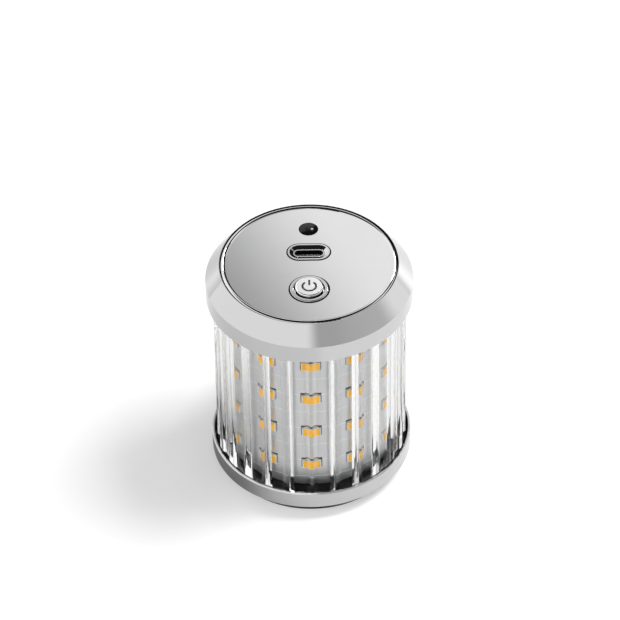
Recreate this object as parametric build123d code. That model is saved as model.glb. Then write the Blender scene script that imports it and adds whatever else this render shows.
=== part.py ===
"""Cordless rechargeable LED lamp: a ribbed clear tube over a ring of LEDs, between two chromed ends.

Three round cells stand in the middle and set the size of everything round them. Going outwards come
the cell holders, an aluminium core tube, the LED board wrapped on it, a silver sleeve with a window
for each LED, and the clear tube. The button, the charging socket and the infrared window are on top.
Millimetres, +Z up, origin at the middle of the foot's underside, button towards -Y.
"""

from build123d import *
import math
import os

os.makedirs("parts", exist_ok=True)

# Battery cells
CELL_D = 18.4
CELL_L = 50.0
CELL_NUB_D = 7.0
CELL_NUB_H = 0.6
CELL_GAP = 1.0          # between two cells
CELL_PLAY = 0.2         # between a cell and its pocket
CELL_EDGE = 0.6

# Cell holders and straps
HOLDER_WALL = 1.83      # outside the widest pocket
HOLDER_BASE = 2.4       # lower holder under the cells
HOLDER_DECK = 2.0       # upper holder above the cells
HOLDER_GRIP = 5.0       # depth of cell that each holder takes
HOLDER_FIT = 0.1        # between a holder and the core tube
STRAP_T = 0.2
STRAP_W = 6.0
STRAP_PLAY = 0.2
STRAP_HOLE_D = 4.0      # lets the return lead through the upper strap

# Light engine
CORE_WALL = 1.0
LED_BOARD_T = 0.6
SLEEVE_FIT = 0.05
SLEEVE_T = 0.3
LED_COLUMNS = 12
LED_ROWS = 4
LED_W = 5.4
LED_L = 3.1
LED_H = 0.6
LED_SIDE = 0.35         # white wall at the two ends of the phosphor
LED_RIM = 0.15          # white wall above and below it
LED_WELL = 0.3
LED_PITCH = 12.98
LED_LIFT = 1.45         # of the LED array above the middle of the bare tube
WINDOW_SIDE = 0.22      # bare board left beside, above and below each LED
WINDOW_ABOVE = 0.9
WINDOW_BELOW = 0.05

# Clear tube
LED_AIR = 0.16          # from the LEDs to the bore
TUBE_WALL = 1.82
RIB_COUNT = 24
RIB_H = 1.39
RIB_ROUND = 0.84        # radius of the crest
RIB_FLANK = 44.4        # degrees from the wall to the flank
RIB_FILLET = 0.2        # radius where the flank meets the wall
TUBE_IN_CAP = 2.6
TUBE_FIT = 0.3          # between the ribs and the two chromed ends
GASKET_T = 0.8
GASKET_FIT = 0.05
TUBE_PLAY = 0.05        # between each end of the tube and its gasket

# Base ring and foot
RING_WALL = 1.2
RING_FLOOR = 1.9
RING_H = 5.5
RING_EDGE = 0.3
SEAT_H = 3.9            # black seat of the core above the ring's floor
SEAT_STEP = 0.3         # of the seat beyond the sleeve
FOOT_INSET = 3.6
FOOT_H = 4.7
FOOT_EDGE = 0.6

# Top cap
CAP_WALL = 1.6
CAP_BAND_H = 5.85
CAP_BEVEL_W = 4.2
CAP_BEVEL_H = 5.45
CAP_EDGE = 0.3
CAP_LAND = 0.15         # flat between the bevel and the plate's bore
CAP_ROOM = 0.8          # of the cap's hollow beyond the bore of the tube
LEDGE_H = 2.4
LEDGE_W = 6.0
CORE_IN_CAP = 2.2

# Control plate and what is on it
PLATE_T = 1.95
PLATE_SINK = 0.25       # of the polished face below the cap's top
PLATE_SEAM = 0.3
BEAD_W = 1.35
BEAD_H = 0.35
INSERT_FIT = 0.2        # between the plate and each piece set in it
FLANGE_T = 0.6          # flange of such a piece, under the plate
FLANGE_W = 0.6

IR_D = 5.3
IR_DOME = 0.25
IR_EDGE = 3.2           # from the board's rim to the middle of the infrared window

USB_W = 8.94            # standard shell of the charging socket
USB_T = 3.16
USB_WALL = 0.3
USB_H = 7.35
USB_FLOOR = 0.5
USB_SINK = 0.4          # of the socket's mouth below the polished face
USB_PLAY = 0.1
USB_Y = 5.06
TONGUE_W = 6.69
TONGUE_T = 0.7
TONGUE_DEEP = 0.8       # of its end below the mouth
FUNNEL_W = 12.2
FUNNEL_L = 6.8
FUNNEL_RIM = 0.5
FUNNEL_RISE = 0.15
FUNNEL_DEEP = 0.4

BUTTON_D = 8.1
BUTTON_RISE = 1.2
BUTTON_EDGE = 0.35
BUTTON_TRAVEL = 0.5
BUTTON_GAP = 0.35       # round the cap of the button
BUTTON_GUIDE = 0.08     # running clearance of its skirt
BUTTON_SKIRT_H = 0.7
BUTTON_SKIRT_W = 0.62
BUTTON_STOP = 0.1       # from the skirt to the bezel's lip
BUTTON_STEM_D = 3.2
BUTTON_RIM = 7.35       # from the board's rim to the middle of the button
BEZEL_WALL = 0.8
BEZEL_RISE = 0.4
BEZEL_EDGE = 0.25
BEZEL_LIP = 0.9

# Control board
BOARD_T = 1.2
STANDOFF_H = 3.4
STANDOFF_D = 4.4
BOARD_SCREW_EDGE = 2.75  # from the board's rim
BOARD_GAP = 0.35        # from the board to the cap's posts
POST_D = 3.6
POST_GAP = 0.15         # from the posts to the core tube
LUG_D = 5.2

SWITCH_W = 6.0
SWITCH_H = 3.5
SWITCH_EDGE = 0.4
PLUNGER_D = 3.4
PLUNGER_RISE = 1.3
PLUNGER_WELL = 1.0
PLUNGER_PLAY = 0.1

IR_BODY_W = 5.0
IR_BODY_H = 3.2
IR_LENS_D = 3.8
CHIP_W = 4.9
CHIP_L = 3.9
CHIP_H = 1.5
CHIP_X = 9.5
CHIP_Y = 2.5
COIL_D = 6.0
COIL_H = 3.2
COIL_WAIST = 0.7
COIL_RIM_H = 0.7
COIL_X = 9.5
COIL_Y = -4.5

# Leads and screws
LEAD_D = 1.2
LEAD_PLAY = 0.3
LEAD_BEND = 1.3
LEAD_RISE = 1.6         # of the LED leads above the board
LEAD_SPREAD = 7.0       # degrees between the two LED leads
LEAD_EDGE = 1.0         # from the board's rim to the LED leads' pads
PLUS_LEAD_R = 6.0

SCREW_FIT = 0.05
SMALL_SCREW_D = 1.8
SMALL_HEAD_D = 3.4
SMALL_HEAD_H = 1.2
SMALL_SCREW_L = 5.0
BASE_SCREW_D = 2.4
BASE_HEAD_D = 4.6
BASE_HEAD_H = 1.8
BASE_SCREW_L = 9.0
BASE_SCREW_SINK = 1.2   # of the heads in the foot
CROSS_W = 0.6           # slot of the drive cross
CROSS_DEPTH = 0.6
CROSS_EDGE = 0.7        # from the slot's end to the head's rim

# Radii, from the cells outwards
CELL_RING = (CELL_D + CELL_GAP) / math.sqrt(3)
POCKET_R = CELL_D / 2 + CELL_PLAY
HOLDER_R = CELL_RING + POCKET_R + HOLDER_WALL
CORE_IN_R = HOLDER_R + HOLDER_FIT
CORE_R = CORE_IN_R + CORE_WALL
LED_BOARD_R = CORE_R + LED_BOARD_T
SLEEVE_IN_R = LED_BOARD_R + SLEEVE_FIT
SLEEVE_R = SLEEVE_IN_R + SLEEVE_T
LED_R = LED_BOARD_R + LED_H
BORE_R = LED_R + LED_AIR
TUBE_R = BORE_R + TUBE_WALL
RIB_R = TUBE_R + RIB_H
RING_BORE_R = RIB_R + TUBE_FIT
RING_R = RING_BORE_R + RING_WALL
FOOT_R = RING_R - FOOT_INSET
SEAT_R = SLEEVE_R + SEAT_STEP
CAP_BORE_R = RIB_R + TUBE_FIT
CAP_R = CAP_BORE_R + CAP_WALL
CAP_ROOM_R = BORE_R + CAP_ROOM
PLATE_BORE_R = CAP_R - CAP_BEVEL_W
PLATE_R = PLATE_BORE_R - PLATE_SEAM
LEDGE_R = PLATE_BORE_R - LEDGE_W
POST_RING = CORE_IN_R - POST_GAP - POST_D / 2 - HOLDER_FIT
BOARD_R = POST_RING - POST_D / 2 - BOARD_GAP
BOARD_SCREW_RING = BOARD_R - BOARD_SCREW_EDGE
BASE_SCREW_RING = POST_RING - POST_D

# Heights, from the floor upwards
Z_RING = FOOT_H
Z_FLOOR = Z_RING + RING_FLOOR
Z_RING_TOP = Z_RING + RING_H
Z_SEAT = Z_FLOOR + SEAT_H
Z_STRAP = Z_FLOOR + HOLDER_BASE
Z_CELL = Z_STRAP + STRAP_T
Z_CELL_TOP = Z_CELL + CELL_L + CELL_NUB_H
Z_DECK = Z_CELL_TOP + STRAP_T
Z_DECK_TOP = Z_DECK + HOLDER_DECK
Z_BOARD = Z_DECK_TOP + STANDOFF_H
Z_BOARD_TOP = Z_BOARD + BOARD_T
Z_MOUTH = Z_BOARD_TOP + USB_H
Z_FACE = Z_MOUTH + USB_SINK
Z_TOP = Z_FACE + PLATE_SINK
Z_BAND = Z_TOP - CAP_BEVEL_H
Z_CAP = Z_BAND - CAP_BAND_H
Z_GASKET = Z_FLOOR + GASKET_T
Z_TUBE = Z_GASKET + TUBE_PLAY
Z_TUBE_TOP = Z_CAP + TUBE_IN_CAP
Z_UPPER_GASKET = Z_TUBE_TOP + TUBE_PLAY
Z_SHOULDER = Z_UPPER_GASKET + GASKET_T
Z_CORE_TOP = Z_CAP + CORE_IN_CAP
Z_PLATE = Z_FACE - PLATE_T
Z_SCREW_SEAT = Z_PLATE - SMALL_HEAD_H - SCREW_FIT
Z_LEDGE = Z_PLATE - LEDGE_H
Z_SWITCH_TOP = Z_BOARD_TOP + SWITCH_H
Z_PLUNGER = Z_SWITCH_TOP + PLUNGER_RISE
Z_BUTTON = Z_FACE + BUTTON_RISE
Z_BEZEL = Z_FACE + BEZEL_RISE
Z_LIP = Z_BEZEL - BEZEL_LIP
Z_SKIRT = Z_LIP - BUTTON_STOP
Z_LED_FIRST = (Z_RING_TOP + Z_CAP) / 2 + LED_LIFT - LED_PITCH * (LED_ROWS - 1) / 2

# Places on the plate and the board
IR_AT = (0, BOARD_R - IR_EDGE)
USB_AT = (0, USB_Y)
BUTTON_AT = (0, BUTTON_RIM - BOARD_R)
BEZEL_IN_R = BUTTON_D / 2 + BUTTON_GAP
SKIRT_R = BUTTON_D / 2 + BUTTON_SKIRT_W
GUIDE_R = SKIRT_R + BUTTON_GUIDE
BEZEL_R = GUIDE_R + BEZEL_WALL


def rounded_face(corners):
    """Flat face from (x, y, rounding) corners joined by straight runs."""
    runs = []
    for place, (x, y, rounding) in enumerate(corners):
        here = Vector(x, y)
        back = (Vector(*corners[place - 1][:2]) - here).normalized()
        ahead = (Vector(*corners[(place + 1) % len(corners)][:2]) - here).normalized()
        if not rounding:
            runs.append((here, here, None))
            continue
        half = math.radians(back.get_angle(ahead)) / 2
        reach = rounding / math.tan(half)
        centre = here + (back + ahead).normalized() * (rounding / math.sin(half))
        middle = centre + (here - centre).normalized() * rounding
        runs.append((here + back * reach, here + ahead * reach, middle))
    edges = []
    for place, (enter, leave, middle) in enumerate(runs):
        if middle is not None:
            edges.append(ThreePointArc(enter, middle, leave))
        edges.append(Line(leave, runs[(place + 1) % len(runs)][0]))
    return make_face(edges)


def turned(*corners):
    """Solid turned about Z from a section's (radius, height[, rounding]) corners."""
    section = [(*corner, 0)[:3] for corner in corners]
    return revolve(Plane.XZ * rounded_face(section), Axis.Z)


def tube(outer, inner, low, high):
    return turned((inner, low), (outer, low), (outer, high), (inner, high))


def rod(radius, low, high, at=(0, 0)):
    return Pos(*at, low) * extrude(Circle(radius), high - low)


def block(width, length, low, high, at=(0, 0)):
    return Pos(*at, low) * extrude(Rectangle(width, length), high - low)


def slot(width, length, low, high, at=(0, 0)):
    """Upright block with round ends."""
    return Pos(*at, low) * extrude(SlotOverall(width, length), high - low)


def around(radius, degrees):
    angle = math.radians(degrees)
    return (radius * math.cos(angle), radius * math.sin(angle))


def thirds(radius, first):
    return [around(radius, first + turn) for turn in (0, 120, 240)]


CELL_PLACES = thirds(CELL_RING, 90)
POST_PLACES = thirds(POST_RING, 30)
BASE_SCREW_PLACES = thirds(BASE_SCREW_RING, 30)
BOARD_SCREW_PLACES = [around(BOARD_SCREW_RING, 45 + 90 * turn) for turn in range(4)]
PLUS_LEAD_AT = around(PLUS_LEAD_R, 330)


def screws(places, head_z, upward, head_d, head_h, shank_d, length):
    """Pan-head screws with a drive cross; the head's bearing face is at head_z."""
    arm = head_d - 2 * CROSS_EDGE
    head = rod(head_d / 2, 0, head_h)
    head -= block(arm, CROSS_W, head_h - CROSS_DEPTH, head_h)
    head -= block(CROSS_W, arm, head_h - CROSS_DEPTH, head_h)
    screw = head + rod(shank_d / 2, -length, 0)
    if upward:
        screw = Rot(180, 0, 0) * screw
    return [Pos(*place, head_z) * screw for place in places]


def foot():
    body = turned((0, 0), (FOOT_R - FOOT_EDGE, 0), (FOOT_R, FOOT_EDGE), (FOOT_R, FOOT_H), (0, FOOT_H))
    head_z = BASE_SCREW_SINK + BASE_HEAD_H
    for place in BASE_SCREW_PLACES:
        body -= rod(BASE_HEAD_D / 2 + SCREW_FIT, 0, head_z, place)
        body -= rod(BASE_SCREW_D / 2 + SCREW_FIT, head_z, FOOT_H, place)
    return body


def base_ring():
    """Shallow cup with its edges broken, open upwards round the tube."""
    body = turned(
        (0, Z_RING),
        (RING_R - RING_EDGE, Z_RING),
        (RING_R, Z_RING + RING_EDGE),
        (RING_R, Z_RING_TOP - RING_EDGE),
        (RING_R - RING_EDGE, Z_RING_TOP),
        (RING_BORE_R + RING_EDGE, Z_RING_TOP),
        (RING_BORE_R, Z_RING_TOP - RING_EDGE),
        (RING_BORE_R, Z_FLOOR),
        (0, Z_FLOOR),
    )
    for place in BASE_SCREW_PLACES:
        body -= rod(BASE_SCREW_D / 2 + SCREW_FIT, Z_RING, Z_FLOOR, place)
    return body


def cell_pockets(low, high):
    return [rod(POCKET_R, low, high, place) for place in CELL_PLACES]


def strap_outline(extra):
    """Three arms from the middle, one to each cell."""
    reach = CELL_RING + STRAP_W / 2
    arms = [
        Rot(0, 0, turn) * Pos(reach / 2, 0) * Rectangle(reach + 2 * extra, STRAP_W + 2 * extra)
        for turn in (90, 210, 330)
    ]
    return Sketch() + arms


def strap(low, hole_r):
    body = Pos(0, 0, low) * extrude(strap_outline(0), STRAP_T)
    if hole_r:
        body -= rod(hole_r, low, low + STRAP_T)
    return body


def cell_holder_lower():
    """Black seat: a flange under the core, and a spigot inside it that takes the cells."""
    top = Z_STRAP + HOLDER_GRIP
    body = turned(
        (0, Z_FLOOR), (SEAT_R, Z_FLOOR), (SEAT_R, Z_SEAT),
        (HOLDER_R, Z_SEAT), (HOLDER_R, top), (0, top),
    )
    body -= cell_pockets(Z_CELL, top)
    body -= Pos(0, 0, Z_STRAP) * extrude(strap_outline(STRAP_PLAY), top - Z_STRAP)
    hole_top = BASE_SCREW_SINK + BASE_HEAD_H + BASE_SCREW_L
    for place in BASE_SCREW_PLACES:
        body -= rod(BASE_SCREW_D / 2 + SCREW_FIT, Z_FLOOR, hole_top, place)
    return body


def cell_holder_upper():
    """Deck over the cells, with stand-offs for the board and posts for the cap."""
    low = Z_DECK - HOLDER_GRIP
    body = rod(HOLDER_R, low, Z_DECK_TOP)
    body -= cell_pockets(low, Z_DECK - STRAP_T)
    body -= Pos(0, 0, low) * extrude(strap_outline(STRAP_PLAY), Z_DECK - low)
    body += [rod(STANDOFF_D / 2, Z_DECK_TOP, Z_BOARD, place) for place in BOARD_SCREW_PLACES]
    body += [rod(POST_D / 2, Z_DECK_TOP, Z_LEDGE, place) for place in POST_PLACES]
    pilot = SMALL_SCREW_D / 2 + SCREW_FIT
    body -= [rod(pilot, Z_BOARD_TOP - SMALL_SCREW_L, Z_BOARD, place) for place in BOARD_SCREW_PLACES]
    body -= [rod(pilot, Z_SCREW_SEAT - SMALL_SCREW_L, Z_LEDGE, place) for place in POST_PLACES]
    body -= rod(LEAD_D / 2 + LEAD_PLAY, Z_DECK, Z_DECK_TOP)
    body -= rod(LEAD_D / 2 + LEAD_PLAY, Z_DECK, Z_DECK_TOP, PLUS_LEAD_AT)
    return body


def battery_cell(place):
    rim = CELL_D / 2 - CELL_EDGE
    body = turned(
        (0, Z_CELL),
        (rim, Z_CELL),
        (CELL_D / 2, Z_CELL + CELL_EDGE),
        (CELL_D / 2, Z_CELL + CELL_L - CELL_EDGE),
        (rim, Z_CELL + CELL_L),
        (CELL_NUB_D / 2, Z_CELL + CELL_L),
        (CELL_NUB_D / 2, Z_CELL_TOP),
        (0, Z_CELL_TOP),
    )
    return Pos(*place) * body


def core_tube():
    return tube(CORE_R, CORE_IN_R, Z_SEAT, Z_CORE_TOP)


def led_board():
    return tube(LED_BOARD_R, CORE_R, Z_SEAT, Z_CORE_TOP)


def led_places():
    """Every LED's place: out along X at its own angle and height."""
    return [
        Rot(0, 0, 360 * column / LED_COLUMNS - 90) * Pos(LED_BOARD_R, 0, Z_LED_FIRST + LED_PITCH * row)
        for column in range(LED_COLUMNS)
        for row in range(LED_ROWS)
    ]


def led_block(low, high, width, length):
    return Pos(low, 0, 0) * extrude(Plane.YZ * Rectangle(width, length), high - low)


def led_phosphor():
    return led_block(LED_H - LED_WELL, LED_H, LED_W - 2 * LED_SIDE, LED_L - 2 * LED_RIM)


def led_packages():
    body = led_block(0, LED_H, LED_W, LED_L) - led_phosphor()
    return [place * body for place in led_places()]


def led_phosphors():
    return [place * led_phosphor() for place in led_places()]


def reflector_sleeve():
    """Silver sleeve; each window stands a little above its LED and leaves the dark board in view."""
    window = led_block(-LED_H, LED_H, LED_W + 2 * WINDOW_SIDE, LED_L + WINDOW_ABOVE + WINDOW_BELOW)
    window = Pos(0, 0, (WINDOW_ABOVE - WINDOW_BELOW) / 2) * window
    return tube(SLEEVE_R, SLEEVE_IN_R, Z_SEAT, Z_CORE_TOP) - [place * window for place in led_places()]


def rib_outline():
    """Ribs with round crests and straight flanks on the tube's wall, one in the middle of the front."""
    flank = math.radians(RIB_FLANK)
    peak = RIB_R + RIB_ROUND * (1 / math.cos(flank) - 1)
    root = TUBE_R - TUBE_WALL / 2
    half = (peak - root) / math.tan(flank)
    rib = rounded_face([(root, -half, 0), (peak, 0, RIB_ROUND), (root, half, 0)])
    pitch = 360 / RIB_COUNT
    outline = Rot(0, 0, -90) * Circle(TUBE_R) + [Rot(0, 0, pitch * turn - 90) * rib for turn in range(RIB_COUNT)]
    corners = outline.vertices().filter_by(lambda corner: Vector(*corner).length < TUBE_R + RIB_H / 4)
    return fillet(corners, RIB_FILLET)


def clear_tube():
    return Pos(0, 0, Z_TUBE) * extrude(rib_outline() - Circle(BORE_R), Z_TUBE_TOP - Z_TUBE)


def lower_gasket():
    return tube(RING_BORE_R - GASKET_FIT, SEAT_R + GASKET_FIT, Z_FLOOR, Z_GASKET)


def upper_gasket():
    return tube(CAP_BORE_R - GASKET_FIT, BORE_R, Z_UPPER_GASKET, Z_SHOULDER)


def top_cap():
    """Bevelled chromed cap: an upright band, a wide bevel and a bore for the plate."""
    body = turned(
        (CAP_BORE_R, Z_CAP + CAP_EDGE),
        (CAP_BORE_R + CAP_EDGE, Z_CAP),
        (CAP_R - CAP_EDGE, Z_CAP),
        (CAP_R, Z_CAP + CAP_EDGE),
        (CAP_R, Z_BAND),
        (PLATE_BORE_R + CAP_LAND, Z_TOP),
        (PLATE_BORE_R, Z_TOP),
        (PLATE_BORE_R, Z_PLATE),
        (LEDGE_R, Z_PLATE),
        (LEDGE_R, Z_LEDGE),
        (CAP_ROOM_R, Z_LEDGE),
        (CAP_ROOM_R, Z_SHOULDER),
        (CAP_BORE_R, Z_SHOULDER),
    )
    body += [rod(LUG_D / 2, Z_LEDGE, Z_PLATE, place) for place in POST_PLACES]
    for place in POST_PLACES:
        body -= rod(SMALL_SCREW_D / 2 + SCREW_FIT, Z_LEDGE, Z_PLATE, place)
        body -= rod(SMALL_HEAD_D / 2 + SCREW_FIT, Z_SCREW_SEAT, Z_PLATE, place)
    return body


def control_plate():
    """Polished disc with a half-round bead at its edge."""
    top = Z_FACE + BEAD_H
    inner = (PLATE_R - BEAD_W, Z_FACE)
    outer = (PLATE_R, Z_FACE)
    bead = make_face([ThreePointArc(inner, (PLATE_R - BEAD_W / 2, top), outer), Line(outer, inner)])
    body = rod(PLATE_R, Z_PLATE, Z_FACE) + revolve(Plane.XZ * bead, Axis.Z)
    body -= rod(IR_D / 2 + INSERT_FIT, Z_PLATE, top, IR_AT)
    body -= rod(BEZEL_R + INSERT_FIT, Z_PLATE, top, BUTTON_AT)
    body -= slot(FUNNEL_W + 2 * INSERT_FIT, FUNNEL_L + 2 * INSERT_FIT, Z_PLATE, top, USB_AT)
    return body


def ir_window():
    flange = IR_D / 2 + FLANGE_W
    low = Z_PLATE - FLANGE_T
    stem = turned((0, low), (flange, low), (flange, Z_PLATE), (IR_D / 2, Z_PLATE), (IR_D / 2, Z_FACE), (0, Z_FACE))
    ball = ((IR_D / 2) ** 2 + IR_DOME ** 2) / (2 * IR_DOME)
    dome = Pos(0, 0, Z_FACE + IR_DOME - ball) * Sphere(ball)
    dome &= rod(IR_D / 2, Z_FACE, Z_FACE + IR_DOME)
    return Pos(*IR_AT) * (stem + dome)


def usb_bezel():
    """Funnel that leads a plug into the socket."""
    low = Z_PLATE - FLANGE_T
    top = Z_FACE + FUNNEL_RISE
    neck = Z_FACE - FUNNEL_DEEP
    mouth = SlotOverall(USB_W + 2 * USB_PLAY, USB_T + 2 * USB_PLAY)
    body = slot(FUNNEL_W, FUNNEL_L, low, top)
    body += slot(FUNNEL_W + 2 * FLANGE_W, FUNNEL_L + 2 * FLANGE_W, low, Z_PLATE)
    body -= loft([
        Pos(0, 0, neck) * mouth,
        Pos(0, 0, top) * SlotOverall(FUNNEL_W - 2 * FUNNEL_RIM, FUNNEL_L - 2 * FUNNEL_RIM),
    ])
    body -= Pos(0, 0, low) * extrude(mouth, neck - low)
    return Pos(*USB_AT) * body


def usb_shell():
    floor = Z_BOARD_TOP + USB_FLOOR
    body = slot(USB_W, USB_T, Z_BOARD_TOP, Z_MOUTH, USB_AT)
    return body - slot(USB_W - 2 * USB_WALL, USB_T - 2 * USB_WALL, floor, Z_MOUTH, USB_AT)


def usb_tongue():
    return block(TONGUE_W, TONGUE_T, Z_BOARD_TOP + USB_FLOOR, Z_MOUTH - TONGUE_DEEP, USB_AT)


def button_bezel():
    low = Z_PLATE - FLANGE_T
    flange = BEZEL_R + FLANGE_W
    body = turned(
        (GUIDE_R, low),
        (flange, low),
        (flange, Z_PLATE),
        (BEZEL_R, Z_PLATE),
        (BEZEL_R, Z_BEZEL, BEZEL_EDGE),
        (BEZEL_IN_R, Z_BEZEL, BEZEL_EDGE),
        (BEZEL_IN_R, Z_LIP),
        (GUIDE_R, Z_LIP),
    )
    return Pos(*BUTTON_AT) * body


def power_button():
    """Round cap with a skirt that is held under the bezel's lip, and a stem onto the switch."""
    under = Z_SKIRT - BUTTON_SKIRT_H
    body = turned(
        (0, Z_PLUNGER),
        (BUTTON_STEM_D / 2, Z_PLUNGER),
        (BUTTON_STEM_D / 2, under),
        (SKIRT_R, under),
        (SKIRT_R, Z_SKIRT),
        (BUTTON_D / 2, Z_SKIRT),
        (BUTTON_D / 2, Z_BUTTON, BUTTON_EDGE),
        (0, Z_BUTTON),
    )
    return Pos(*BUTTON_AT) * body


def switch_body():
    body = block(SWITCH_W, SWITCH_W, Z_BOARD_TOP, Z_SWITCH_TOP, BUTTON_AT)
    body = chamfer(body.edges().filter_by(Axis.Z), SWITCH_EDGE)
    return body - rod(PLUNGER_D / 2 + PLUNGER_PLAY, Z_SWITCH_TOP - PLUNGER_WELL, Z_SWITCH_TOP, BUTTON_AT)


def switch_plunger():
    low = Z_SWITCH_TOP - PLUNGER_WELL + BUTTON_TRAVEL + PLUNGER_PLAY
    return rod(PLUNGER_D / 2, low, Z_PLUNGER, BUTTON_AT)


def control_board():
    body = rod(BOARD_R, Z_BOARD, Z_BOARD_TOP)
    return body - [rod(SMALL_SCREW_D / 2 + SCREW_FIT, Z_BOARD, Z_BOARD_TOP, at) for at in BOARD_SCREW_PLACES]


def ir_receiver():
    top = Z_BOARD_TOP + IR_BODY_H
    dome = Pos(*IR_AT, top) * Sphere(IR_LENS_D / 2)
    return block(IR_BODY_W, IR_BODY_W, Z_BOARD_TOP, top, IR_AT) + dome


def chip(x):
    return block(CHIP_W, CHIP_L, Z_BOARD_TOP, Z_BOARD_TOP + CHIP_H, (x, CHIP_Y))


def power_inductor():
    """Drum core: two flanges and a waist of winding."""
    top = Z_BOARD_TOP + COIL_H
    waist = COIL_D / 2 - COIL_WAIST
    body = turned(
        (0, Z_BOARD_TOP), (COIL_D / 2, Z_BOARD_TOP),
        (COIL_D / 2, Z_BOARD_TOP + COIL_RIM_H), (waist, Z_BOARD_TOP + COIL_RIM_H),
        (waist, top - COIL_RIM_H), (COIL_D / 2, top - COIL_RIM_H),
        (COIL_D / 2, top), (0, top),
    )
    return Pos(COIL_X, COIL_Y) * body


def battery_lead(low, place):
    return rod(LEAD_D / 2, low, Z_BOARD, place)


def led_lead(degrees):
    """Bridge from the LED board's upper edge over the core's rim to the control board."""
    outer = (CORE_R + LED_BOARD_R) / 2
    inner = BOARD_R - LEAD_EDGE
    high = Z_BOARD_TOP + LEAD_RISE
    path = FilletPolyline(
        (outer, 0, Z_CORE_TOP), (outer, 0, high), (inner, 0, high), (inner, 0, Z_BOARD_TOP),
        radius=LEAD_BEND,
    )
    body = sweep(Pos(outer, 0, Z_CORE_TOP) * Circle(LEAD_D / 2), path)
    return Rot(0, 0, degrees) * body


PARTS = {
    "foot": foot(),
    "base_ring": base_ring(),
    "base_screws": screws(
        BASE_SCREW_PLACES, BASE_SCREW_SINK + BASE_HEAD_H, True,
        BASE_HEAD_D, BASE_HEAD_H, BASE_SCREW_D, BASE_SCREW_L,
    ),
    "lower_gasket": lower_gasket(),
    "cell_holder_lower": cell_holder_lower(),
    "cell_strap_lower": strap(Z_STRAP, 0),
    "cell_strap_upper": strap(Z_CELL_TOP, STRAP_HOLE_D / 2),
    "cell_holder_upper": cell_holder_upper(),
    "core_tube": core_tube(),
    "led_board": led_board(),
    "led_packages": led_packages(),
    "led_phosphors": led_phosphors(),
    "reflector_sleeve": reflector_sleeve(),
    "clear_tube": clear_tube(),
    "upper_gasket": upper_gasket(),
    "top_cap": top_cap(),
    "cap_screws": screws(
        POST_PLACES, Z_SCREW_SEAT, False, SMALL_HEAD_D, SMALL_HEAD_H, SMALL_SCREW_D, SMALL_SCREW_L,
    ),
    "control_plate": control_plate(),
    "ir_window": ir_window(),
    "usb_bezel": usb_bezel(),
    "usb_shell": usb_shell(),
    "usb_tongue": usb_tongue(),
    "button_bezel": button_bezel(),
    "power_button": power_button(),
    "switch_plunger": switch_plunger(),
    "switch_body": switch_body(),
    "control_board": control_board(),
    "board_screws": screws(
        BOARD_SCREW_PLACES, Z_BOARD_TOP, False, SMALL_HEAD_D, SMALL_HEAD_H, SMALL_SCREW_D, SMALL_SCREW_L,
    ),
    "ir_receiver": ir_receiver(),
    "charge_chip": chip(CHIP_X),
    "control_chip": chip(-CHIP_X),
    "power_inductor": power_inductor(),
    "battery_lead_plus": battery_lead(Z_DECK, PLUS_LEAD_AT),
    "battery_lead_minus": battery_lead(Z_CELL, (0, 0)),
    "led_lead_plus": led_lead(180 + LEAD_SPREAD / 2),
    "led_lead_minus": led_lead(180 - LEAD_SPREAD / 2),
}
for number, place in enumerate(CELL_PLACES, 1):
    PARTS[f"battery_cell_{number}"] = battery_cell(place)

for name, body in PARTS.items():
    shape = Compound(children=body) if isinstance(body, list) else body
    export_step(shape, f"parts/{name}.step")
print("height", Z_TOP, "cap", 2 * CAP_R, "ring", 2 * RING_R, "tube shows", Z_CAP - Z_RING_TOP)
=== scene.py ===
"""Looks of a cordless LED lamp: chromed ends, a ribbed clear tube and a silver LED core.

Metres, in the lamp's own frame: +Z up, the origin in the middle of the foot's underside, button towards -Y.
"""

import math

import bpy
from mathutils import Matrix, Vector


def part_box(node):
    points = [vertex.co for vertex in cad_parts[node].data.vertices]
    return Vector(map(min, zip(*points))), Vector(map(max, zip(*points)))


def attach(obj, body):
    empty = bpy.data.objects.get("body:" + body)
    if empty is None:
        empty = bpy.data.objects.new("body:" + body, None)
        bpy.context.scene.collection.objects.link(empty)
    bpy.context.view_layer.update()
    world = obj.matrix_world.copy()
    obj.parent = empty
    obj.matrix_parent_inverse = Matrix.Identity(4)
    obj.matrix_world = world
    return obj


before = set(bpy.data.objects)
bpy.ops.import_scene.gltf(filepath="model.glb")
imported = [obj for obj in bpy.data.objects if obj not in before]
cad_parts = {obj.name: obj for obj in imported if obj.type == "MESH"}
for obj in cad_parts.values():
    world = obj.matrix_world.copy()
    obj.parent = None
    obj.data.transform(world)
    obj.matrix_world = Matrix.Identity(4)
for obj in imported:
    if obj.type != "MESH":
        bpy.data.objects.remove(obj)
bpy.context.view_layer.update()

MM = 0.001
WHITE = (1, 1, 1, 1)
BLACK = (0, 0, 0, 1)

# Camera: where it looks, how far off and how steep, and the photograph's slight turn
LOOK_AT = Vector((0.104, 0, 56.368)) * MM
CAMERA_DISTANCE = 1070.9 * MM
CAMERA_ELEVATION = math.radians(42.245)
CAMERA_ROLL = math.radians(-0.859)
SENSOR_WIDTH = 36.0
LENS = 213.97
CLIP_END = 20

# Bounces of a ray: the ribbed tube has many faces to cross
MAX_BOUNCES = 32
GLOSSY_BOUNCES = 24
CLEAR_BOUNCES = 24

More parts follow.
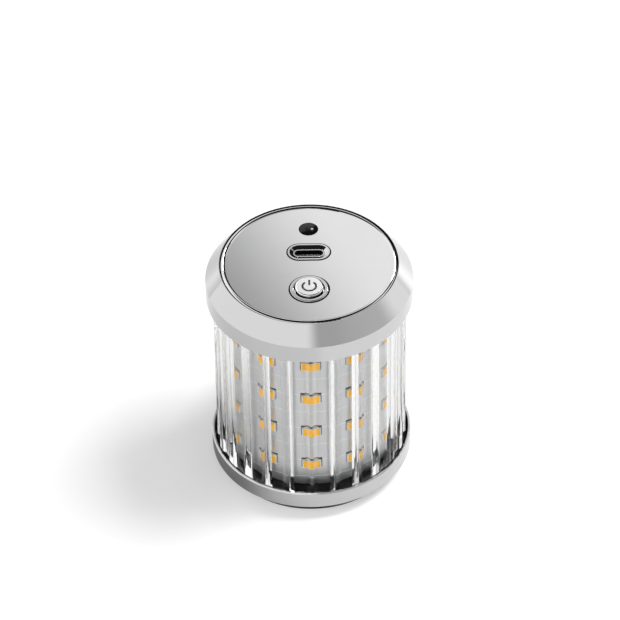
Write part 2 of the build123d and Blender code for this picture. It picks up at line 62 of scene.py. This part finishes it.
# Plating: colours, gloss, and grains in features to a metre
CHROME = (0.50, 0.50, 0.503)
POLISHED = (0.56, 0.56, 0.563)
BUTTON_CHROME = (0.78, 0.78, 0.783)
# Painted shade for the seams and recesses of plated pieces
PAINTED_SHADE_COLOUR = (0.004, 0.004, 0.004, 1)
CAP_ROUGH = 0.05
RING_ROUGH = 0.06
INSET_ROUGH = 0.03
BUTTON_ROUGH = 0.07
CAST_RIPPLE = 0.02
INSET_RIPPLE = 0.01
RIPPLE_GRAIN = 260
RIPPLE_DEPTH = 0.05 * MM
CLOUD_GRAIN = 120
CLOUD_TINT = 0.02
HAZE_GRAIN = 900
HAZE_DETAIL = 4
HAZE_STRAY = 0.3

# Painted shade, a dark matte colour instead of the plating: the seam round the control plate, the walls of
# what is set in it, the ring inside its rim
PLATE_SEAM = 0.3 * MM
BEAD_HEIGHT = 0.35 * MM
BEZEL_ROUND = 0.23 * MM
FUNNEL_DEPTH = 0.4 * MM
RING_RIM = 0.68 * MM
EDGE_LAP = 0.02 * MM
BUTTON_HOLE = 11.5 * MM
SOCKET_HOLE = 7.2 * MM
SOCKET_HOLE_WIDTH = 12.6 * MM
DARK_RIM = 0.2 * MM

# Plain finishes: colour, roughness, 1 for bare metal, and the nodes that have it
MOULDINGS = {
    "led_white": ((0.82, 0.81, 0.78), 0.45, 0, ["led_packages"]),
    "dark_mask": ((0.004, 0.004, 0.004), 0.7, 0, ["led_board"]),
    "foot_rubber": ((0.018, 0.018, 0.018), 0.6, 0, ["foot"]),
    "gasket_rubber": ((0.012, 0.012, 0.012), 0.5, 0, ["lower_gasket", "upper_gasket"]),
    "holder_black": ((0.004, 0.004, 0.004), 0.6, 0, ["cell_holder_lower", "cell_holder_upper"]),
    "socket_steel": ((0.5, 0.5, 0.51), 0.1, 1, ["usb_shell"]),
    "socket_black": ((0.015, 0.015, 0.015), 0.4, 0, ["usb_tongue", "switch_plunger"]),
    "core_aluminium": ((0.6, 0.6, 0.61), 0.35, 1, ["core_tube"]),
    "board_green": ((0.02, 0.13, 0.05), 0.4, 0, ["control_board"]),
    "chip_black": (
        (0.02, 0.02, 0.02), 0.5, 0, ["switch_body", "ir_receiver", "charge_chip", "control_chip"],
    ),
    "ferrite": ((0.06, 0.06, 0.065), 0.6, 0, ["power_inductor"]),
    "cell_wrap": ((0.05, 0.16, 0.33), 0.3, 0, ["battery_cell_1", "battery_cell_2", "battery_cell_3"]),
    "nickel": ((0.6, 0.58, 0.54), 0.3, 1, ["cell_strap_lower", "cell_strap_upper"]),
    "screw_steel": ((0.5, 0.5, 0.51), 0.3, 1, ["base_screws", "cap_screws", "board_screws"]),
    "lead_red": ((0.5, 0.03, 0.03), 0.45, 0, ["battery_lead_plus", "led_lead_plus"]),
    "lead_black": ((0.02, 0.02, 0.02), 0.45, 0, ["battery_lead_minus", "led_lead_minus"]),
}
MOULDING_CLOUDS = 200
MOULDING_TINT = 0.1
MOULDING_GRAIN = 1500
MOULDING_DETAIL = 3
MOULDING_STRAY = 0.15
MOULDING_BUMP = 0.3
MOULDING_DEPTH = 0.02 * MM

# LED rows, from the frame
LED_ROWS = 4
led_low, led_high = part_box("led_packages")
LED_HEIGHT = 3.1 * MM
LED_PITCH = (led_high.z - led_low.z - LED_HEIGHT) / (LED_ROWS - 1)
LED_FIRST = led_low.z + LED_HEIGHT / 2

# Silver sleeve: two scored lines, placed in shares of the LED rows' pitch, and painted shade that darkens
# it towards its lower edge
SILVER = (0.75, 0.75, 0.755)
SLEEVE_CLOUDS = 90
SLEEVE_TINT = 0.03
SCORE_ABOVE = 0.125
SCORE_BELOW = 0.61
SCORE_REACH = (0.0055, 0.011)
SCORE_BRIGHT = 1.25
PAINTED_SHADE_REACH = (1.5 * MM, 9 * MM)
PAINTED_SHADE_LEVEL = 0.56
BRUSH_GRAIN = 2500
BRUSH_DETAIL = 3
BRUSH_STRETCH = (1, 1, 0.02)
BRUSH_ROUGH = (0.42, 0.50)
BRUSH_BUMP = 0.05
BRUSH_DEPTH = 0.01 * MM

# Phosphor of the LEDs, with a painted amber glow though the LEDs are off
PHOSPHOR = (0.95, 0.44, 0.0)
PHOSPHOR_TINT = 0.07
PHOSPHOR_ROUGH = 0.6
PHOSPHOR_SHINE = 0.05
PAINTED_GLOW_COLOUR = (1.0, 0.60, 0.0)
PAINTED_GLOW_TINT = 0.1
PAINTED_GLOW_LEVEL = 0.18
PHOSPHOR_GRAIN = 6000
PHOSPHOR_BUMP = 0.1
PHOSPHOR_DEPTH = 0.01 * MM

# Smoked infrared window
SMOKE_DEEP = (0.003, 0.002, 0.003, 1)
SMOKE_PALE = (0.005, 0.004, 0.005, 1)
SMOKE_CLOUDS = 300
SMOKE_HAZE = 900
SMOKE_ROUGH = (0.05, 0.09)
SMOKE_SHINE = 0.18

# Clear tube
TUBE_COLOUR = (0.985, 0.99, 0.99, 1)
TUBE_IOR = 1.581
TUBE_SHINE = (0.35, 0.35, 0.35, 1)
TUBE_ROUGH = (0.0, 0.012)
DRAWN_GRAIN = 1500
DRAWN_STRETCH = (1, 1, 0.01)

# Studio that metal and glass show: its levels, and its edges as parts of a unit direction
AMBIENT = 0.42
STUDIO_IN_TUBE = 0.7
FRONT_EDGE = (-0.2, 0.2)
LEFT_WALL = 1.34
LEFT_EDGE = (-0.17, 0.08)
RIGHT_WALL = (0.67, 0.80)
RIGHT_FADE = (0.3, 0.95)
PANEL = (0.55, 1.36)
PANEL_HEIGHT = 0.662
PANEL_EDGE = (-0.034, 0.016)
CORNER_WALL = 1.5
CORNER_EDGE = (0.05, 0.11)
LOW_WALL = 1.36
LOW_EDGE = (0.25, 0.5)
DARK_CLOTH = 0.02
LOW_GAP_SIDE = (-0.24, -0.14)
LOW_GAP_TOP = (0.22, 0.36)
RIGHT_GAP_SIDE = (0.11, 0.16)
GAP_END = (0.66, 0.74)
GAP_BACK = (0.2, 0.5)
ROOF_EDGE = (0.72, 0.79)

# Small lamp behind, seen in the dark window
SMALL_LAMP = 45
LAMP_BEHIND = Vector((0.098, 0.741, 0.664)).normalized()
LAMP_EDGE = (0.9993, 0.9998)

# White floor: its paint, its own light, and a painted shadow in its paint at the back left of a line at
# FLOOR_TURN
FLOOR_SIZE = 8
FLOOR_TURN = 0.6
FLOOR_WHITE = 0.74
FLOOR_IN_TUBE = 0.66
FLOOR_PAINTED_SHADOW = 0.5
PAINTED_SHADOW_REACH = (32 * MM, 46 * MM)
PAINTED_SHADOW_SIDE = (-5 * MM, 20 * MM)
PAINTED_SHADOW_LIFT = 0.45
FLOOR_LIFT = 0.17
FLOOR_LIFT_FRONT = 0.15
FRONT_SIDE = (-30 * MM, 12 * MM)
RIGHT_SIDE = (2 * MM, 30 * MM)
FLOOR_LIFT_FAR = 0.75
FAR_REACH = (120 * MM, 600 * MM)
FAR_IN_TUBE = 0.4

# Softboxes
LIGHT_AIM = Vector((0, 0, 40)) * MM
KEY_PLACE = Vector((0.55, 0.12, 0.95))
KEY_SIZE = 0.5
KEY_WATTS = 10.5
FILL_PLACE = Vector((-0.25, -0.95, 0.75))
FILL_SIZE = 0.8
FILL_WATTS = 8.5

# Power sign on the button
SIGN_RADIUS = 1.95 * MM
SIGN_STROKE = 0.62 * MM
SIGN_OPEN = math.radians(90)
SIGN_BAR_WIDTH = 0.6 * MM
SIGN_BAR_LOW = 0.35 * MM
SIGN_BAR_HIGH = 2.7 * MM
SIGN_PROUD = 0.02 * MM
SIGN_SUNK = 0.02 * MM
SIGN_MERGE = 0.0004 * MM
SIGN_STEPS = 72
SIGN_END_SIDES = 32
SIGN_INK = (0.022, 0.022, 0.023)
SIGN_ROUGH = 0.5


class Wire:
    """A socket in a node tree. Arithmetic on it adds Math nodes, and node() adds any other kind."""

    def __init__(self, tree, socket=None):
        self.tree = tree
        self.socket = socket

    def node(self, kind, values=None, out=0, **settings):
        """Adds a node, sets its settings, then its sockets' values or links, and gives one output."""
        made = self.tree.nodes.new("ShaderNode" + kind)
        for name, setting in settings.items():
            setattr(made, name, setting)
        for name, value in (values or {}).items():
            socket = made.inputs[name]
            if isinstance(value, Wire):
                self.tree.links.new(value.socket, socket)
            else:
                socket.default_value = value
        return Wire(self.tree, made.outputs[out] if made.outputs else None)

    def math(self, operation, first, second=0.0):
        """Adds a Math node."""
        return self.node("Math", {0: first, 1: second}, operation=operation)

    def __add__(self, other):
        return self.math("ADD", self, other)

    def __radd__(self, other):
        return self.math("ADD", other, self)

    def __sub__(self, other):
        return self.math("SUBTRACT", self, other)

    def __rsub__(self, other):
        return self.math("SUBTRACT", other, self)

    def __mul__(self, other):
        return self.math("MULTIPLY", self, other)

    def __rmul__(self, other):
        return self.math("MULTIPLY", other, self)

    def __truediv__(self, other):
        return self.math("DIVIDE", self, other)

    def __abs__(self):
        return self.math("ABSOLUTE", self)

    def rise(self, low, high):
        """0 below low, 1 above high and a smooth step between."""
        values = {"Value": self, "From Min": low, "From Max": high}
        return self.node("MapRange", values, interpolation_type="SMOOTHSTEP")

    def between(self, low, high):
        """Number from low to high, wires or plain numbers, as this wire goes from 0 to 1."""
        return low + self * (high - low)

    def stray(self, level, share):
        """Number that strays from a level by a share of it, down and up, as this wire goes from 0 to 1."""
        return self.between(level * (1 - share), level * (1 + share))

    def mix(self, first, second):
        """Colour from first to second as this wire goes from 0 to 1."""
        values = {0: self, 6: first, 7: second}
        return self.node("Mix", values, out=2, data_type="RGBA")

    def tint(self, colour, share):
        """Colour that strays from the given one by a share, darker and lighter."""
        return self.mix(rgba(colour, 1 - share), rgba(colour, 1 + share))


def rgba(colour, level=1.0):
    """A colour at a level, with its alpha."""
    return (*(part * level for part in colour), 1)


def new_material(name):
    """A material with an empty tree, and a wire to build it with."""
    made = bpy.data.materials.new(name)
    made.use_nodes = True
    made.node_tree.nodes.clear()
    return made, Wire(made.node_tree)


def place_of(graph):
    """A point's place in the lamp's frame."""
    return graph.node("TexCoord", out="Object")


def split(where):
    """x, y and z of a place or a direction."""
    return [where.node("SeparateXYZ", {0: where}, out=axis) for axis in range(3)]


def noise(where, scale, detail=2.0, stretch=(1, 1, 1)):
    """Noise from 0 to 1 with about scale features to a metre."""
    mapped = where.node("Mapping", {"Vector": where, "Scale": stretch})
    return mapped.node("TexNoise", {"Vector": mapped, "Scale": scale, "Detail": detail})


def bump(height, strength, distance):
    """Normal of a surface that the height, from 0 to 1, makes uneven by a distance."""
    return height.node("Bump", {"Height": height, "Strength": strength, "Distance": distance})


def below(height):
    """Mask of what lies under a height."""
    def mask(x, y, z):
        return z.math("LESS_THAN", z, height)
    return mask


def round_slot(middle, half_run, radius):
    """Mask of an upright slot with round ends along X, or of a round hole where half_run is 0."""
    def mask(x, y, z):
        along = x.math("MAXIMUM", abs(x - middle.x) - half_run, 0.0)
        across = y - middle.y
        return x.math("LESS_THAN", along * along + across * across, radius * radius)
    return mask


def either(first, *others):
    """Mask of what lies in any of the masks."""
    def mask(x, y, z):
        total = first(x, y, z)
        for other in others:
            total = total + other(x, y, z)
        return z.math("MINIMUM", total, 1.0)
    return mask


def both(first, second):
    """Mask of what lies in the two masks at once."""
    def mask(x, y, z):
        return first(x, y, z) * second(x, y, z)
    return mask


def plating(name, colour, rough, ripple=CAST_RIPPLE, shade_mask=None):
    """Bright plating: faint cloudiness in colour and gloss, and the slight ripple of the moulding under it.

    Where the mask gives 1, painted shade: a dark matte colour stands in for the plating, as the shade in
    seams and recesses.
    """
    made, graph = new_material(name)
    where = place_of(graph)
    shader = graph.node("BsdfPrincipled", {
        "Base Color": noise(where, CLOUD_GRAIN).tint(colour, CLOUD_TINT),
        "Metallic": 1.0,
        "Roughness": noise(where, HAZE_GRAIN, HAZE_DETAIL).stray(rough, HAZE_STRAY),
        "Normal": bump(noise(where, RIPPLE_GRAIN), ripple, RIPPLE_DEPTH),
    })
    if shade_mask:
        # Painted shade: a dark matte surface takes the plating's place
        dark = graph.node("BsdfDiffuse", {"Color": PAINTED_SHADE_COLOUR})
        shader = graph.node("MixShader", {0: shade_mask(*split(where)), 1: shader, 2: dark})
    graph.node("OutputMaterial", {"Surface": shader})
    return made


def moulding(name, colour, rough, metallic=0):
    """Plain moulded, sintered or drawn surface with a fine grain."""
    made, graph = new_material(name)
    where = place_of(graph)
    fine = noise(where, MOULDING_GRAIN, MOULDING_DETAIL)
    shader = graph.node("BsdfPrincipled", {
        "Base Color": noise(where, MOULDING_CLOUDS).tint(colour, MOULDING_TINT),
        "Metallic": metallic,
        "Roughness": fine.stray(rough, MOULDING_STRAY),
        "Normal": bump(fine, MOULDING_BUMP, MOULDING_DEPTH),
    })
    graph.node("OutputMaterial", {"Surface": shader})
    return made


def silver_sleeve():
    """Satin silver film with two fine scored lines to each row of LEDs, and painted shade that darkens it
    towards its lower edge.
    """
    made, graph = new_material("silver_sleeve")
    where = place_of(graph)
    height = split(where)[2]
    turns = (height - LED_FIRST) / LED_PITCH
    share = turns.math("FRACT", turns + LED_ROWS)
    upper_line = 1 - abs(share - SCORE_ABOVE).rise(*SCORE_REACH)
    lower_line = 1 - abs(share - SCORE_BELOW).rise(*SCORE_REACH)
    low_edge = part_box("reflector_sleeve")[0].z
    clean = noise(where, SLEEVE_CLOUDS).tint(SILVER, SLEEVE_TINT)
    # Painted shade: the silver darkens towards the sleeve's lower edge
    film_and_painted_shade = (height - low_edge).rise(*PAINTED_SHADE_REACH).mix(rgba(SILVER, PAINTED_SHADE_LEVEL), clean)
    brushed = noise(where, BRUSH_GRAIN, BRUSH_DETAIL, BRUSH_STRETCH)
    shader = graph.node("BsdfPrincipled", {
        "Base Color": (upper_line + lower_line).mix(film_and_painted_shade, rgba(SILVER, SCORE_BRIGHT)),
        "Metallic": 1.0,
        "Roughness": brushed.between(*BRUSH_ROUGH),
        "Normal": bump(brushed, BRUSH_BUMP, BRUSH_DEPTH),
    })
    graph.node("OutputMaterial", {"Surface": shader})
    return made


def phosphor():
    """Cast silicone with phosphor grains, and a painted amber glow: it gives off light of its own though
    the LEDs are off.
    """
    made, graph = new_material("phosphor")
    grains = noise(place_of(graph), PHOSPHOR_GRAIN)
    shader = graph.node("BsdfPrincipled", {
        "Base Color": grains.tint(PHOSPHOR, PHOSPHOR_TINT),
        "Roughness": PHOSPHOR_ROUGH,
        "Specular IOR Level": PHOSPHOR_SHINE,
        # Painted glow: amber light of its own under any lamp
        "Emission Color": grains.tint(PAINTED_GLOW_COLOUR, PAINTED_GLOW_TINT),
        "Emission Strength": PAINTED_GLOW_LEVEL,
        "Normal": bump(grains, PHOSPHOR_BUMP, PHOSPHOR_DEPTH),
    })
    graph.node("OutputMaterial", {"Surface": shader})
    return made


def dark_window():
    """Smoked plastic that lets infrared through."""
    made, graph = new_material("dark_window")
    where = place_of(graph)
    shader = graph.node("BsdfPrincipled", {
        "Base Color": noise(where, SMOKE_CLOUDS).mix(SMOKE_DEEP, SMOKE_PALE),
        "Roughness": noise(where, SMOKE_HAZE).between(*SMOKE_ROUGH),
        "Specular IOR Level": SMOKE_SHINE,
    })
    graph.node("OutputMaterial", {"Surface": shader})
    return made


def clear_plastic():
    """Polished clear tube with faint drawing lines along it."""
    made, graph = new_material("clear_plastic")
    drawn = noise(place_of(graph), DRAWN_GRAIN, stretch=DRAWN_STRETCH)
    shader = graph.node("BsdfPrincipled", {
        "Base Color": TUBE_COLOUR,
        "Roughness": drawn.between(*TUBE_ROUGH),
        "IOR": TUBE_IOR,
        "Specular Tint": TUBE_SHINE,
        "Transmission Weight": 1.0,
    })
    graph.node("OutputMaterial", {"Surface": shader})
    return made


def middle_of(name):
    """Middle of a node's box."""
    low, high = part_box(name)
    return (low + high) / 2


def dress(material, *names):
    """Gives a material to nodes of the frame."""
    for name in names:
        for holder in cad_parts[name].material_slots:
            holder.material = material


def dress_plated():
    """Plated pieces, most with painted shade, dark, on their seams and inner walls."""
    axis = Vector((0, 0, 0))
    plate_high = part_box("control_plate")[1]
    face = plate_high.z - BEAD_HEIGHT
    # Painted shade: the cap's bore wall in the seam round the control plate
    shaded_bore_wall = both(
        below(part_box("top_cap")[1].z - EDGE_LAP),
        round_slot(axis, 0, plate_high.x + PLATE_SEAM + EDGE_LAP),
    )
    dress(plating("cap_chrome", CHROME, CAP_ROUGH, shade_mask=shaded_bore_wall), "top_cap")
    # Painted shade: the ring inside its rim
    inside = round_slot(axis, 0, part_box("base_ring")[1].x - RING_RIM)
    dress(plating("ring_chrome", CHROME, RING_ROUGH, shade_mask=inside), "base_ring")
    socket_run = SOCKET_HOLE_WIDTH - SOCKET_HOLE
    # Painted shade: the plate's sides under its face and a rim round each hole
    shaded_hole_edges = either(
        below(face - EDGE_LAP),
        round_slot(middle_of("button_bezel"), 0, BUTTON_HOLE / 2 + DARK_RIM),
        round_slot(middle_of("usb_bezel"), socket_run / 2, SOCKET_HOLE / 2 + DARK_RIM),
    )
    dress(plating("plate_chrome", POLISHED, INSET_ROUGH, INSET_RIPPLE, shaded_hole_edges), "control_plate")
    # Painted shade: the bezel's walls under its rounded top
    shaded_bezel_wall = below(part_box("button_bezel")[1].z - BEZEL_ROUND)
    dress(plating("bezel_chrome", CHROME, INSET_ROUGH, INSET_RIPPLE, shaded_bezel_wall), "button_bezel")
    # Painted shade: the funnel's neck under the plate's face
    shaded_neck_wall = below(face - FUNNEL_DEPTH - EDGE_LAP)
    dress(plating("funnel_chrome", CHROME, INSET_ROUGH, INSET_RIPPLE, shaded_neck_wall), "usb_bezel")
    dress(plating("button_chrome", BUTTON_CHROME, BUTTON_ROUGH), "power_button")


def dress_nodes():
    """Gives every node of the frame its finish."""
    dress_plated()
    dress(silver_sleeve(), "reflector_sleeve")
    dress(phosphor(), "led_phosphors")
    dress(clear_plastic(), "clear_tube")
    dress(dark_window(), "ir_window")
    for name, (colour, rough, metallic, nodes) in MOULDINGS.items():
        dress(moulding(name, colour, rough, metallic), *nodes)


def set_camera():
    """Camera in front of the lamp and above it, with the photograph's turn."""
    lens = bpy.data.cameras.new("camera")
    lens.sensor_width = SENSOR_WIDTH
    lens.lens = LENS
    lens.clip_end = CLIP_END
    camera = bpy.data.objects.new("camera", lens)
    bpy.context.scene.collection.objects.link(camera)
    forward = Vector((0, math.cos(CAMERA_ELEVATION), -math.sin(CAMERA_ELEVATION)))
    right = Vector((1, 0, 0))
    up = right.cross(forward)
    turned_right = right * math.cos(CAMERA_ROLL) + up * math.sin(CAMERA_ROLL)
    turned_up = up * math.cos(CAMERA_ROLL) - right * math.sin(CAMERA_ROLL)
    pose = Matrix((turned_right, turned_up, -forward)).transposed().to_4x4()
    pose.translation = LOOK_AT - forward * CAMERA_DISTANCE
    camera.matrix_world = pose
    bpy.context.scene.camera = camera


def ray_kinds(graph):
    """Flags of a ray: straight from the camera, off or through a glossy face, and through a clear one."""
    kinds = ("Is Camera Ray", "Is Glossy Ray", "Is Transmission Ray")
    return [graph.node("LightPath", out=kind) for kind in kinds]


def front_walls(x):
    """Walls on the camera's side: bright on its left, greyer on its right."""
    right_wall = x.rise(*RIGHT_FADE).between(*RIGHT_WALL)
    return (0 - x).rise(*LEFT_EDGE).between(right_wall, LEFT_WALL)


def back_walls(x, y, z):
    """Walls behind the lamp: a panel with a slanted edge, a white corner on the left and dark gaps."""
    slant = x - (z - PANEL_HEIGHT)
    panel = slant.rise(*PANEL_EDGE).between(*PANEL)
    panel = (0 - x).rise(*CORNER_EDGE).between(panel, CORNER_WALL)
    wall = z.rise(*LOW_EDGE).between(LOW_WALL, panel)
    low_gap = x.rise(*LOW_GAP_SIDE) * (1 - z.rise(*LOW_GAP_TOP))
    right_gap = x.rise(*RIGHT_GAP_SIDE)
    gap = x.math("MAXIMUM", low_gap, right_gap) * (1 - x.rise(*GAP_END)) * y.rise(*GAP_BACK)
    return gap.between(wall, DARK_CLOTH)


def set_world():
    """White studio with a dark roof, as metal and glass show it. The rest gets an even light."""
    world = bpy.data.worlds.new("studio")
    bpy.context.scene.world = world
    world.use_nodes = True
    world.node_tree.nodes.clear()
    graph = Wire(world.node_tree)
    way = graph.node("TexCoord", out="Generated")
    x, y, z = split(way)
    studio = (0 - y).rise(*FRONT_EDGE).between(back_walls(x, y, z), front_walls(x))
    studio = z.rise(*ROOF_EDGE).between(studio, DARK_CLOTH)
    lamp = way.node("VectorMath", {0: way, 1: LAMP_BEHIND}, out="Value", operation="DOT_PRODUCT")
    studio = studio + lamp.rise(*LAMP_EDGE) * SMALL_LAMP
    camera, glossy, clear = ray_kinds(graph)
    studio = studio * clear.between(1.0, STUDIO_IN_TUBE)
    studio = camera.between(studio, 1.0)
    seen = graph.math("MINIMUM", camera + glossy + clear, 1.0)
    shader = graph.node("Background", {"Color": WHITE, "Strength": seen.between(AMBIENT, studio)})
    graph.node("OutputWorld", {"Surface": shader})


def white_floor():
    """White sweep that keeps the shadow: its own light lifts it to white, less so in the tube."""
    bpy.ops.mesh.primitive_plane_add(size=FLOOR_SIZE)
    floor = bpy.context.active_object
    floor.name = "floor"
    made, graph = new_material("white_sweep")
    where = place_of(graph)
    x, y = split(where)[:2]
    camera, glossy, clear = ray_kinds(graph)
    away = where.node("VectorMath", {0: where}, out="Value", operation="LENGTH")
    back_left = FLOOR_TURN * y - x
    # Painted shadow: darker paint near the lamp's back left, seen in metal; for the camera the floor's own
    # light makes up for it
    painted_shadow = (1 - away.rise(*PAINTED_SHADOW_REACH)) * back_left.rise(*PAINTED_SHADOW_SIDE) * FLOOR_PAINTED_SHADOW
    white = clear.between(FLOOR_WHITE, FLOOR_IN_TUBE) * (1 - painted_shadow)
    paint = graph.node("BsdfDiffuse", {"Color": white.mix(BLACK, WHITE)})
    # Painted light: more of the floor's own light in front of the lamp for the camera, and on its right for
    # metal
    front = (x - FLOOR_TURN * y).rise(*FRONT_SIDE) * FLOOR_LIFT_FRONT
    near = FLOOR_LIFT + front + painted_shadow * PAINTED_SHADOW_LIFT
    far = away.rise(*FAR_REACH) * FLOOR_LIFT_FAR
    right = x.rise(*RIGHT_SIDE) * FLOOR_LIFT_FRONT
    own_light = camera * (near + far) + glossy * (1 - clear) * (right + far) + clear * far * FAR_IN_TUBE
    lift = graph.node("Emission", {"Color": WHITE, "Strength": own_light})
    sweep = graph.node("AddShader", {0: paint, 1: lift})
    graph.node("OutputMaterial", {"Surface": sweep})
    floor.data.materials.append(made)


def softbox(name, place, size, watts):
    """Square light towards the lamp's middle, which metal doesn't show."""
    light = bpy.data.lights.new(name, "AREA")
    light.shape = "SQUARE"
    light.size = size
    light.energy = watts
    lamp = bpy.data.objects.new(name, light)
    bpy.context.scene.collection.objects.link(lamp)
    lamp.location = place
    lamp.rotation_euler = (LIGHT_AIM - place).to_track_quat("-Z", "Y").to_euler()
    lamp.visible_glossy = False


def set_stage():
    """Studio, floor and lights."""
    set_world()
    white_floor()
    softbox("key", KEY_PLACE, KEY_SIZE, KEY_WATTS)
    softbox("fill", FILL_PLACE, FILL_SIZE, FILL_WATTS)


def disc(place, width, thick):
    """Round end of a stroke of that width."""
    bpy.ops.mesh.primitive_cylinder_add(
        vertices=SIGN_END_SIDES, radius=width / 2, depth=thick, location=place,
    )
    bpy.ops.object.transform_apply(location=True)
    return bpy.context.active_object


def arc_stroke(radius, width, thick, opening):
    """Flat open ring: an upright section spun round Z, its opening towards +Y."""
    bpy.ops.mesh.primitive_plane_add(size=1, location=(radius, 0, 0), rotation=(math.pi / 2, 0, 0))
    bpy.ops.object.transform_apply(location=True, rotation=True)
    arc = bpy.context.active_object
    bpy.ops.object.mode_set(mode="EDIT")
    bpy.ops.mesh.select_all(action="SELECT")
    bpy.ops.transform.resize(value=(width, 1, thick), center_override=(radius, 0, 0))
    bpy.ops.mesh.spin(steps=SIGN_STEPS, angle=2 * math.pi - opening, center=(0, 0, 0), axis=(0, 0, 1))
    bpy.ops.mesh.select_all(action="SELECT")
    bpy.ops.mesh.remove_doubles(threshold=SIGN_MERGE)
    bpy.ops.mesh.normals_make_consistent(inside=False)
    bpy.ops.object.mode_set(mode="OBJECT")
    arc.rotation_euler.z = (math.pi - opening) / 2
    bpy.ops.object.transform_apply(rotation=True)
    return arc


def bar_stroke(low, high, width, thick):
    """Straight flat stroke along Y."""
    bpy.ops.mesh.primitive_cube_add(size=1, location=(0, (low + high) / 2, 0))
    bar = bpy.context.active_object
    bar.scale = (width, high - low, thick)
    bpy.ops.object.transform_apply(location=True, scale=True)
    return bar


def unite(piece, others):
    """Makes one closed shell of a piece and the shapes that overlap it."""
    bpy.context.view_layer.objects.active = piece
    for other in others:
        union = piece.modifiers.new("union", "BOOLEAN")
        union.operation = "UNION"
        union.object = other
        bpy.ops.object.modifier_apply(modifier=union.name)
        bpy.data.objects.remove(other)


def power_sign():
    """Dark open ring and bar printed on the button; they press in with it."""
    thick = SIGN_PROUD + SIGN_SUNK
    sign = arc_stroke(SIGN_RADIUS, SIGN_STROKE, thick, SIGN_OPEN)
    end_x = SIGN_RADIUS * math.sin(SIGN_OPEN / 2)
    end_y = SIGN_RADIUS * math.cos(SIGN_OPEN / 2)
    bar_low = SIGN_BAR_LOW + SIGN_BAR_WIDTH / 2
    bar_high = SIGN_BAR_HIGH - SIGN_BAR_WIDTH / 2
    unite(sign, [
        disc((-end_x, end_y, 0), SIGN_STROKE, thick),
        disc((end_x, end_y, 0), SIGN_STROKE, thick),
        bar_stroke(bar_low, bar_high, SIGN_BAR_WIDTH, thick),
        disc((0, bar_low, 0), SIGN_BAR_WIDTH, thick),
        disc((0, bar_high, 0), SIGN_BAR_WIDTH, thick),
    ])
    low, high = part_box("power_button")
    sign.location = ((low.x + high.x) / 2, (low.y + high.y) / 2, high.z + SIGN_PROUD - thick / 2)
    bpy.ops.object.select_all(action="DESELECT")
    sign.select_set(True)
    bpy.ops.object.transform_apply(location=True)
    sign.name = "power_sign"
    sign.data.name = "power_sign"
    sign.data.materials.append(moulding("sign_ink", SIGN_INK, SIGN_ROUGH))
    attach(sign, "button")


bpy.context.scene.view_settings.view_transform = "Standard"
bpy.context.scene.cycles.max_bounces = MAX_BOUNCES
bpy.context.scene.cycles.glossy_bounces = GLOSSY_BOUNCES
bpy.context.scene.cycles.transmission_bounces = CLEAR_BOUNCES
bpy.ops.object.select_all(action="DESELECT")
set_camera()
set_stage()
dress_nodes()
power_sign()
